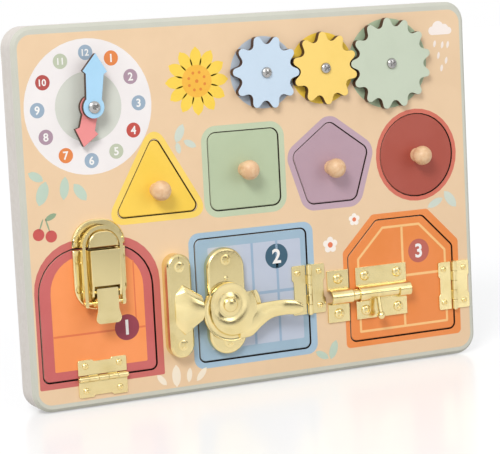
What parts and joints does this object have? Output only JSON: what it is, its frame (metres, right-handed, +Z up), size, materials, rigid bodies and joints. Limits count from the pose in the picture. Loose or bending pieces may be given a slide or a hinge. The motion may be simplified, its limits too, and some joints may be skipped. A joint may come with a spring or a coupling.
{
  "type": "wooden busy board",
  "caption": "Upright wooden activity board with clock hands, meshing gears, lift-out shapes with knobs, and hinged doors closed by a toggle latch, a sash fastener and a barrel bolt.",
  "frame": {"origin": "middle of the bottom edge, half way through the board's thickness", "axes": "+X to the right as seen from the front, +Z up, the front face looks along -Y and the plain back along +Y"},
  "size_m": [0.3, 0.0335, 0.224],
  "materials": {
    "board_paint": "printed matt lacquer on plywood",
    "board_back": "pale matt paint",
    "yellow_paint": "printed matt lacquer",
    "sage_paint": "printed matt lacquer",
    "mauve_paint": "printed matt lacquer",
    "brick_paint": "printed matt lacquer",
    "blue_gear_paint": "printed matt lacquer",
    "yellow_gear_paint": "printed matt lacquer",
    "green_gear_paint": "printed matt lacquer",
    "minute_paint": "printed matt lacquer",
    "hour_paint": "printed matt lacquer",
    "door_1_paint": "printed matt lacquer",
    "door_2_paint": "printed matt lacquer",
    "door_3_paint": "printed matt lacquer",
    "beech": "clear lacquered beech",
    "gold_plate": "polished gold plating on steel",
    "steel": "bright zinc plate",
    "nylon": "moulded nylon"
  },
  "bodies": {
    "board": {"back_panel": "board_back", "front_panel": "board_paint", "clock_pivot": "steel", "clock_washers": "nylon", "gear_bushes": "nylon", "gear_screws": "steel", "hinge_1_board_leaf": "gold_plate", "hinge_1_pin": "gold_plate", "hinge_1_board_screws": "gold_plate", "hinge_2_board_leaf": "gold_plate", "hinge_2_pin": "gold_plate", "hinge_2_board_screws": "gold_plate", "hinge_3_board_leaf": "gold_plate", "hinge_3_pin": "gold_plate", "hinge_3_board_screws": "gold_plate", "toggle_keeper": "gold_plate", "toggle_keeper_screws": "gold_plate", "sash_keeper": "gold_plate", "sash_keeper_screws": "gold_plate", "bolt_keeper": "gold_plate", "bolt_keeper_screws": "gold_plate"},
    "minute_hand": {"minute_hand": "minute_paint"},
    "hour_hand": {"hour_hand": "hour_paint"},
    "gear_blue": {"gear_blue": "blue_gear_paint"},
    "gear_yellow": {"gear_yellow": "yellow_gear_paint"},
    "gear_green": {"gear_green": "green_gear_paint"},
    "triangle": {"triangle_piece": "yellow_paint", "triangle_knob": "beech"},
    "square": {"square_piece": "sage_paint", "square_knob": "beech"},
    "pentagon": {"pentagon_piece": "mauve_paint", "pentagon_knob": "beech"},
    "round": {"round_piece": "brick_paint", "round_knob": "beech"},
    "door_1": {"door_1_panel": "door_1_paint", "hinge_1_door_leaf": "gold_plate", "hinge_1_door_screws": "gold_plate", "toggle_base": "gold_plate", "toggle_base_screws": "gold_plate", "toggle_lever_pin": "gold_plate"},
    "toggle_lever": {"toggle_lever": "gold_plate", "toggle_bail_pin": "gold_plate"},
    "toggle_bail": {"toggle_bail": "gold_plate"},
    "door_2": {"door_2_panel": "door_2_paint", "hinge_2_door_leaf": "gold_plate", "hinge_2_door_screws": "gold_plate", "sash_base": "gold_plate", "sash_base_screws": "gold_plate", "sash_rivet": "gold_plate", "sash_detent": "gold_plate"},
    "sash_lever": {"sash_lever": "gold_plate"},
    "door_3": {"door_3_panel": "door_3_paint", "hinge_3_door_leaf": "gold_plate", "hinge_3_door_screws": "gold_plate", "bolt_barrel": "gold_plate", "bolt_barrel_screws": "gold_plate"},
    "bolt_rod": {"bolt_rod": "gold_plate"},
    "bolt_knob": {"bolt_knob": "gold_plate"}
  },
  "joints": [
    {"name": "minute_hand_turn", "type": "hinge", "parent": "board", "child": "minute_hand", "pos_m": [-0.1052, -0.017, 0.1759], "axis": [0, -1, 0], "continuous": true},
    {"name": "hour_hand_turn", "type": "hinge", "parent": "board", "child": "hour_hand", "pos_m": [-0.1052, -0.013, 0.1759], "axis": [0, -1, 0], "continuous": true},
    {"name": "gear_green_turn", "type": "hinge", "parent": "board", "child": "gear_green", "pos_m": [0.0937, -0.013, 0.1884], "axis": [0, -1, 0], "continuous": true},
    {"name": "gear_yellow_turn", "type": "hinge", "parent": "board", "child": "gear_yellow", "pos_m": [0.0477, -0.013, 0.1884], "axis": [0, -1, 0], "continuous": true},
    {"name": "gear_blue_turn", "type": "hinge", "parent": "board", "child": "gear_blue", "pos_m": [0.0077, -0.013, 0.1884], "axis": [0, -1, 0], "continuous": true},
    {"name": "triangle_lift", "type": "slide", "parent": "board", "child": "triangle", "axis": [0, -1, 0], "range_m": [0, 0.04]},
    {"name": "square_lift", "type": "slide", "parent": "board", "child": "square", "axis": [0, -1, 0], "range_m": [0, 0.04]},
    {"name": "pentagon_lift", "type": "slide", "parent": "board", "child": "pentagon", "axis": [0, -1, 0], "range_m": [0, 0.04]},
    {"name": "round_lift", "type": "slide", "parent": "board", "child": "round", "axis": [0, -1, 0], "range_m": [0, 0.04]},
    {"name": "door_1_swing", "type": "hinge", "parent": "board", "child": "door_1", "pos_m": [-0.1066, -0.01175, 0.01745], "axis": [1, 0, 0], "range_deg": [0, 90]},
    {"name": "door_2_swing", "type": "hinge", "parent": "board", "child": "door_2", "pos_m": [0.03145, -0.01175, 0.0537], "axis": [0, 0, 1], "range_deg": [0, 90]},
    {"name": "door_3_swing", "type": "hinge", "parent": "board", "child": "door_3", "pos_m": [0.13495, -0.01175, 0.045], "axis": [0, 0, 1], "range_deg": [0, 165]},
    {"name": "toggle_lever_lift", "type": "hinge", "parent": "door_1", "child": "toggle_lever", "pos_m": [-0.1046, -0.019, 0.069], "axis": [-1, 0, 0], "range_deg": [0, 90]},
    {"name": "toggle_bail_swing", "type": "hinge", "parent": "toggle_lever", "child": "toggle_bail", "pos_m": [-0.1046, -0.0162, 0.0623], "axis": [1, 0, 0], "range_deg": [0, 90]},
    {"name": "sash_lever_turn", "type": "hinge", "parent": "door_2", "child": "sash_lever", "pos_m": [-0.0258, -0.017, 0.052], "axis": [0, -1, 0], "range_deg": [-55, 95]},
    {"name": "bolt_slide", "type": "slide", "parent": "door_3", "child": "bolt_rod", "axis": [1, 0, 0], "range_m": [-0.004, 0.012]},
    {"name": "bolt_knob_turn", "type": "hinge", "parent": "bolt_rod", "child": "bolt_knob", "pos_m": [0.0776, -0.0138, 0.0472], "axis": [-1, 0, 0], "range_deg": [0, 76]}
  ],
  "couplings": [
    {"joint": "gear_yellow_turn", "follows": "gear_green_turn", "ratio": -1.3},
    {"joint": "gear_blue_turn", "follows": "gear_green_turn", "ratio": 1.3},
    {"joint": "toggle_bail_swing", "follows": "toggle_lever_lift", "ratio": 1}
  ]
}
